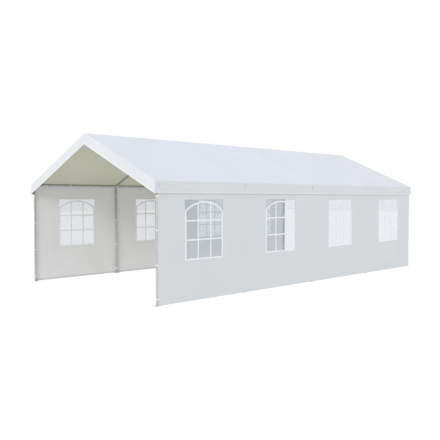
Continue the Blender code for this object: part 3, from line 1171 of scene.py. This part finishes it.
def add_border(bm, middle_y, base):
    """The welded border, round the film's edge on the inner side of the wall."""
    out = (FILM_OVERLAP + BORDER_LIP) / 2 - BORDER_LIP
    width = FILM_OVERLAP + 2 * BORDER_LIP
    low, high, side = SILL - out, HEAD + out, WINDOW_HALF + out
    for y, z, direction, length in (
        (-side, low - width / 2, UPWARD, high - low + width),
        (side, low - width / 2, UPWARD, high - low + width),
        (-side + width / 2, low, ALONG, 2 * side - width),
        (-side + width / 2, high, ALONG, 2 * side - width),
    ):
        strip = Strip(bm, base + Vector((0, middle_y + y, z)), direction, -ACROSS, width, BAR_EDGE)
        strip.run(length, round(length / 0.05))
        strip.finish()


def window_bars(middle_y):
    """The bars show on both faces of the film, one set behind the other."""
    bm = bmesh.new()
    inner_base = ACROSS * (FILM_PLANE - FILM_THICKNESS - BAR_GAP)
    add_bars(bm, middle_y, ACROSS * (FILM_PLANE + BAR_GAP), ACROSS)
    add_bars(bm, middle_y, inner_base, -ACROSS)
    add_border(bm, middle_y, inner_base)
    for vert in bm.verts:
        vert.co.x += wall_belly(vert.co.y, vert.co.z)
    return bm


# %% Bar plastic, and the eight windows
bar_plastic = Finish("white bar plastic", {"Specular IOR Level": 0.45})
bar_place = bar_plastic.place()
bar_clouds = bar_plastic.spots(bar_place, 14.0, 2.0)
bar_plastic.surface(
    base_color=bar_plastic.blend(bar_clouds, colour(0.69, 0.705, 0.71), colour(0.74, 0.755, 0.76)),
    roughness=bar_clouds * 0.12 + 0.30,
    normal=bar_plastic.relief(bar_plastic.spots(bar_place, 240.0, 1.0), 0.0003, 0.25),
)
for side in SIDES:
    for index, middle_y in enumerate(WINDOW_PLACES):
        number = index + 1 if side == "right" else FRAME_COUNT - 1 - index
        pane = film_sheet(middle_y)
        pane.transform(SIDE_TURN[side])
        piece = add_piece(
            f"window_film_{side}_{number}", pane, [film],
            [f"window_{side}_{number}"], closed=False,
        )
        solid = piece.modifiers.new("thickness", "SOLIDIFY")
        solid.thickness = FILM_THICKNESS
        solid.offset = -1.0
        bars = window_bars(middle_y)
        bars.transform(SIDE_TURN[side])
        bar_piece = add_piece(f"window_bars_{side}_{number}", bars, [bar_plastic])

# %% [markdown]
# ## Ties and tabs
#
# The walls are held by flat white ties. Four go round each leg, and four in
# every bay go round the eave rail. Each one is a strip of webbing that is
# sewn to the wall, runs round the tube and comes back. The same strip tool
# that made the window bars makes them: it is pushed along the wall, turned
# on a small radius, and bent round the tube.

# %% Webbing
webbing = Finish("white webbing", {"Specular IOR Level": 0.2, "Sheen Weight": 0.15})
webbing_place = webbing.place()
ribs_split = webbing.add("ShaderNodeSeparateXYZ", {}, {0: webbing_place}).socket.node
rib_x, rib_y, rib_z = [Wire(webbing, output) for output in ribs_split.outputs]
ribs = (rib_z + rib_y).wave(0.0022) * (rib_y - rib_z + rib_x).wave(0.0022)
webbing_dust = webbing.spots(webbing_place, 60.0, 3.0)
webbing.surface(
    base_color=webbing.blend(webbing_dust, colour(0.64, 0.645, 0.64), colour(0.74, 0.745, 0.74)),
    roughness=webbing_dust * 0.1 + 0.68,
    normal=webbing.relief(ribs, 0.0003, 0.6),
)

TIE_WIDTH = 0.020
TIE_THICKNESS = 0.0006
TIE_CORNER = 0.003
SEWN_LENGTH = 0.028
TIE_WRAP = TUBE_RADIUS + 0.0003
wall_face = WALL_SKIN - CLOTH - 0.0003
LEG_TIE_HEIGHTS = (0.11, 0.65, 1.20, 1.74)
RAIL_TIE_OFFSETS = (0.26, 0.83, 1.37, 1.92)


def add_leg_tie(bm, place, height, past_edge):
    """A tie round a right-hand leg.

    past_edge is 0 in the middle of a wall. At an end of the wall it is the
    way, -1 or 1, in which the tie leaves the wall and goes round the leg.
    """
    way = past_edge if past_edge else -1
    start = Vector((wall_face, place - way * (TIE_WRAP + TIE_CORNER + SEWN_LENGTH), height))
    turn = ALONG * way
    axis = UPWARD * way
    tie = Strip(bm, start, turn, -ACROSS, TIE_WIDTH, TIE_THICKNESS)
    tie.run(SEWN_LENGTH, 2)
    tie.bend(axis, math.pi / 2, TIE_CORNER, steps=4)
    tie.push(wall_face - TIE_CORNER - HALF_WIDTH)
    tie.bend(-axis, math.pi, TIE_WRAP, steps=16)
    if past_edge:
        tie.push(WALL_SKIN + 0.0002 - HALF_WIDTH - TIE_WRAP)
        tie.bend(-axis, math.pi / 2, TIE_WRAP, steps=8)
        tie.run(SEWN_LENGTH * 0.7, 2)
    else:
        tie.push(wall_face - TIE_CORNER - HALF_WIDTH)
        tie.bend(axis, math.pi / 2, TIE_CORNER, steps=4)
        tie.run(SEWN_LENGTH, 2)
    tie.finish()


def add_rail_tie(bm, place):
    """A tie from the wall's inner face, under, round and over the rail."""
    under = EAVE_HEIGHT - TIE_WRAP
    start = Vector((wall_face, place, under - TIE_CORNER - SEWN_LENGTH))
    tie = Strip(bm, start, UPWARD, -ACROSS, TIE_WIDTH, TIE_THICKNESS)
    tie.run(SEWN_LENGTH, 2)
    tie.bend(-ALONG, math.pi / 2, TIE_CORNER, steps=4)
    tie.push(wall_face - TIE_CORNER - HALF_WIDTH)
    tie.bend(ALONG, math.pi, TIE_WRAP, steps=16)
    tie.push(WALL_SKIN + 0.0002 - HALF_WIDTH - TIE_WRAP)
    tie.bend(ALONG, math.pi / 2, TIE_WRAP, steps=8)
    tie.run(SEWN_LENGTH * 0.7, 2)
    tie.finish()


# %% All the ties of both walls
for side in SIDES:
    ties = bmesh.new()
    for index, place in enumerate(FRAME_PLACES):
        past_edge = (index == FRAME_COUNT - 1) - (index == 0)
        for height in LEG_TIE_HEIGHTS:
            add_leg_tie(ties, place, height, past_edge)
    for place in FRAME_PLACES[:-1]:
        for offset in RAIL_TIE_OFFSETS:
            add_rail_tie(ties, place + offset)
    ties.transform(SIDE_TURN[side] if side == "right" else Matrix.Scale(-1, 4, ACROSS))
    add_piece(f"wall_ties_{side}", ties, [webbing])
leg_ties = len(LEG_TIE_HEIGHTS) * FRAME_COUNT
rail_ties = len(RAIL_TIE_OFFSETS) * (FRAME_COUNT - 1)
print("ties on a wall:", leg_ties + rail_ties)

# %% Looped tabs on the side valances, one at each frame
TAB_WIDTH = 0.022
TAB_TOP = 1.962
TAB_LENGTH = 0.090
TAB_THICKNESS = 0.0012
TAB_FOLD = 0.0014
grey_webbing = Finish("grey webbing", {"Specular IOR Level": 0.2})
grey_place = grey_webbing.place()
grey_dust = grey_webbing.spots(grey_place, 60.0, 3.0)
grey_split = grey_webbing.add("ShaderNodeSeparateXYZ", {}, {0: grey_place}).socket.node
grey_ribs = Wire(grey_webbing, grey_split.outputs[2]).wave(0.0024)
grey_webbing.surface(
    base_color=grey_webbing.blend(grey_dust, colour(0.50, 0.52, 0.53), colour(0.58, 0.60, 0.61)),
    roughness=grey_dust * 0.1 + 0.65,
    normal=grey_webbing.relief(grey_ribs, 0.0003, 0.6),
)
for side in SIDES:
    tabs = bmesh.new()
    for place in FRAME_PLACES:
        inset = 0.025 * ((place < 1 - HALF_LENGTH) - (place > HALF_LENGTH - 1))
        down = Vector((math.sin(VALANCE_LEAN), 0, -math.cos(VALANCE_LEAN)))
        out = Vector((math.cos(VALANCE_LEAN), 0, math.sin(VALANCE_LEAN)))
        top = Vector((VALANCE_FACE + 0.0012, place + inset, TAB_TOP))
        tab = Strip(tabs, top, down, out, TAB_WIDTH, TAB_THICKNESS)
        tab.run(TAB_LENGTH, 4)
        tab.bend(-ALONG, math.pi, TAB_FOLD, steps=6)
        tab.run(TAB_LENGTH * 0.8, 4)
        tab.finish()
    tabs.transform(SIDE_TURN[side])
    add_piece(f"valance_tabs_{side}", tabs, [grey_webbing])

cut_width = 2 * (roof_edge / math.cos(PITCH) + side_strip + HEM_WIDTH)
cut_length = 2 * (roof_end + gable_strip + HEM_WIDTH)
corner_area = (side_strip + HEM_WIDTH) * (gable_strip + HEM_WIDTH)
cut_width * cut_length - 4 * corner_area

# %% [markdown]
# ## Floor, light and camera
#
# White cloth on a white ground needs an even light, or it turns grey. The
# world is plain white, and a soft light in front of the tent makes the gable
# a little brighter than the long side. A wide, bluish softbox overhead cools
# the roof, so that its slope stands apart from the lining under it, whose
# warm, dark colour is painted shade. The floor gives off as much light as
# the world does: no horizon can be seen through the clear windows, and the
# lining is lit from below as it would be over pale ground. The camera stands
# at the height of a person's eyes, off the right front corner, with a
# slightly long lens.

# %% Light
bpy.context.scene.view_settings.view_transform = "Standard"
world = bpy.data.worlds.new("studio")
world.use_nodes = True
background = world.node_tree.nodes["Background"]
background.inputs["Color"].default_value = colour(1.0, 1.0, 1.0)
background.inputs["Strength"].default_value = 1.0
bpy.context.scene.world = world

front = bpy.data.lights.new("front light", "SUN")
front.energy = 1.35
front.angle = math.radians(20)
front_light = bpy.data.objects.new("front light", front)
front_light.matrix_world = towards((0.32, -1.0, 0.45))
bpy.context.scene.collection.objects.link(front_light)

overhead = bpy.data.lights.new("overhead softbox", "AREA")
overhead.shape = "RECTANGLE"
overhead.size = 12.0
overhead.size_y = 16.0
overhead.energy = 190.0
overhead.color = (0.25, 0.38, 1.0)
overhead_light = bpy.data.objects.new("overhead softbox", overhead)
overhead_light.location = (0.0, 0.0, 10.0)
bpy.context.scene.collection.objects.link(overhead_light)

# %% Floor
floor_finish = Finish("studio floor", {"Roughness": 0.9, "Emission Strength": 0.88})
floor_finish.shader.inputs["Base Color"].default_value = colour(0.12, 0.12, 0.12)
floor_finish.shader.inputs["Emission Color"].default_value = colour(1.0, 1.0, 1.0)
floor_mesh = bmesh.new()
bmesh.ops.create_grid(floor_mesh, x_segments=1, y_segments=1, size=60.0)
floor = bpy.data.objects.new("floor", bpy.data.meshes.new("floor"))
floor_mesh.to_mesh(floor.data)
floor_mesh.free()
floor.data.materials.append(floor_finish.material)
floor.location.z = -0.0005
bpy.context.scene.collection.objects.link(floor)

# %% Camera
CAMERA_PLACE = (9.3936, -9.8705, 1.7069)
CAMERA_YAW = math.radians(45.5247)
CAMERA_PITCH = math.radians(2.1002)
lens = bpy.data.cameras.new("camera")
lens.sensor_width = 36.0
lens.lens = 48.93
lens.clip_end = 200.0
camera = bpy.data.objects.new("camera", lens)
camera.location = CAMERA_PLACE
camera.rotation_euler = (math.pi / 2 - CAMERA_PITCH, 0.0, CAMERA_YAW)
bpy.context.scene.collection.objects.link(camera)
bpy.context.scene.camera = camera
